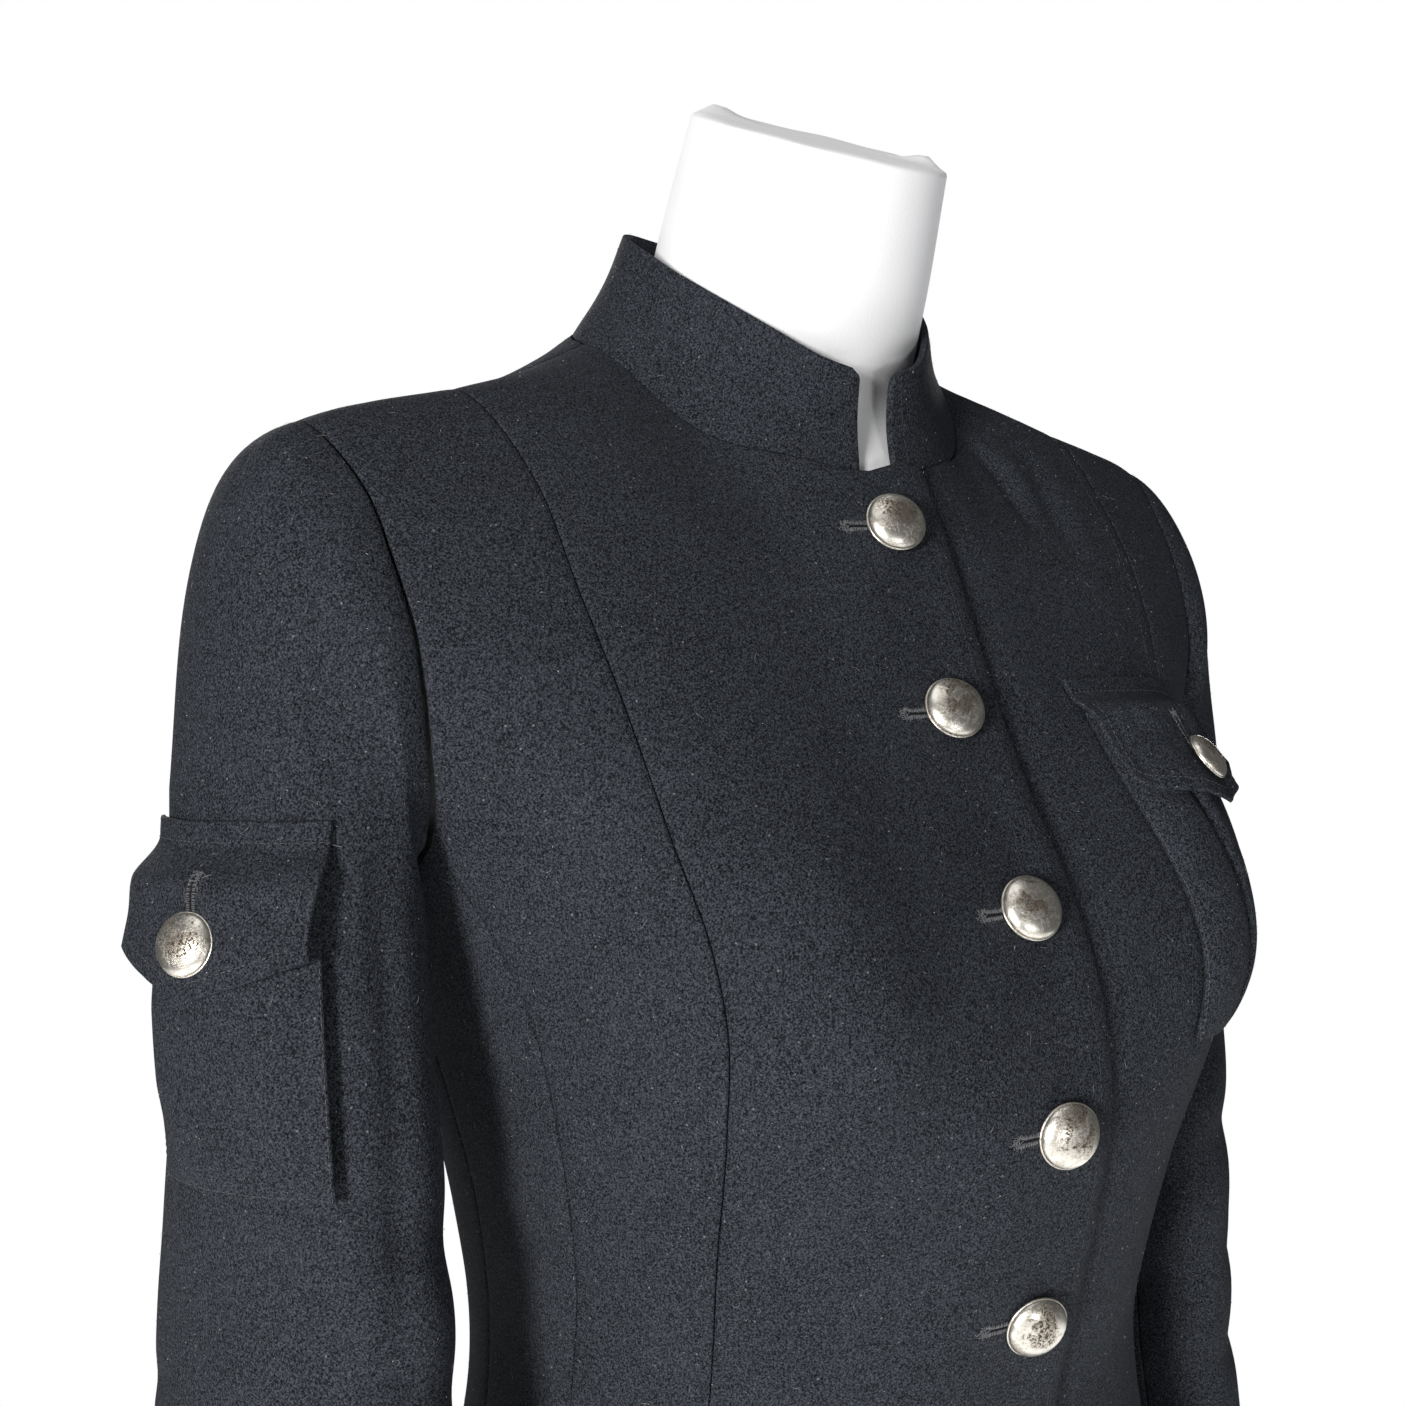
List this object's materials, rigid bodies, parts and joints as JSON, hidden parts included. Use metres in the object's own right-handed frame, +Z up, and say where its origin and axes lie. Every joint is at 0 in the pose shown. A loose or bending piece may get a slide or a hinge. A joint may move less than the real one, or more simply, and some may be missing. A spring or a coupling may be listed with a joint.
{
  "type": "fitted stand-collar jacket on a limbless dress form",
  "caption": "Fitted dark wool jacket with a stand collar, domed metal buttons and flap pockets, on a limbless dress form with a pole and a round base.",
  "frame": {"origin": "centre of the base's underside, on the floor", "axes": "+Z up, the jacket's front faces -Y, the wearer's left is +X"},
  "size_m": [0.4905, 0.35, 1.4911],
  "materials": {
    "wool_crepe": "matt pebbly wool crepe, near black, with pale lint",
    "button_metal": "domed, silvery, worn and speckled",
    "form_jersey": "smooth white jersey",
    "pole_steel": "plain bright steel",
    "base_enamel": "plain white enamel"
  },
  "bodies": {
    "root": {"button_1": "button_metal", "button_2": "button_metal", "button_3": "button_metal", "button_4": "button_metal", "button_5": "button_metal", "button_6": "button_metal", "chest_button": "button_metal", "chest_pocket": "wool_crepe", "chest_pocket_flap": "wool_crepe", "collar": "wool_crepe", "dress_form": "form_jersey", "left_back": "wool_crepe", "left_front": "wool_crepe", "left_side": "wool_crepe", "left_side_front": "wool_crepe", "left_top_sleeve": "wool_crepe", "left_under_sleeve": "wool_crepe", "right_back": "wool_crepe", "right_front": "wool_crepe", "right_side": "wool_crepe", "right_side_front": "wool_crepe", "right_top_sleeve": "wool_crepe", "right_under_sleeve": "wool_crepe", "sleeve_button": "button_metal", "sleeve_pocket": "wool_crepe", "sleeve_pocket_flap": "wool_crepe", "stand_base": "base_enamel", "stand_pole": "pole_steel"}
  },
  "joints": []
}
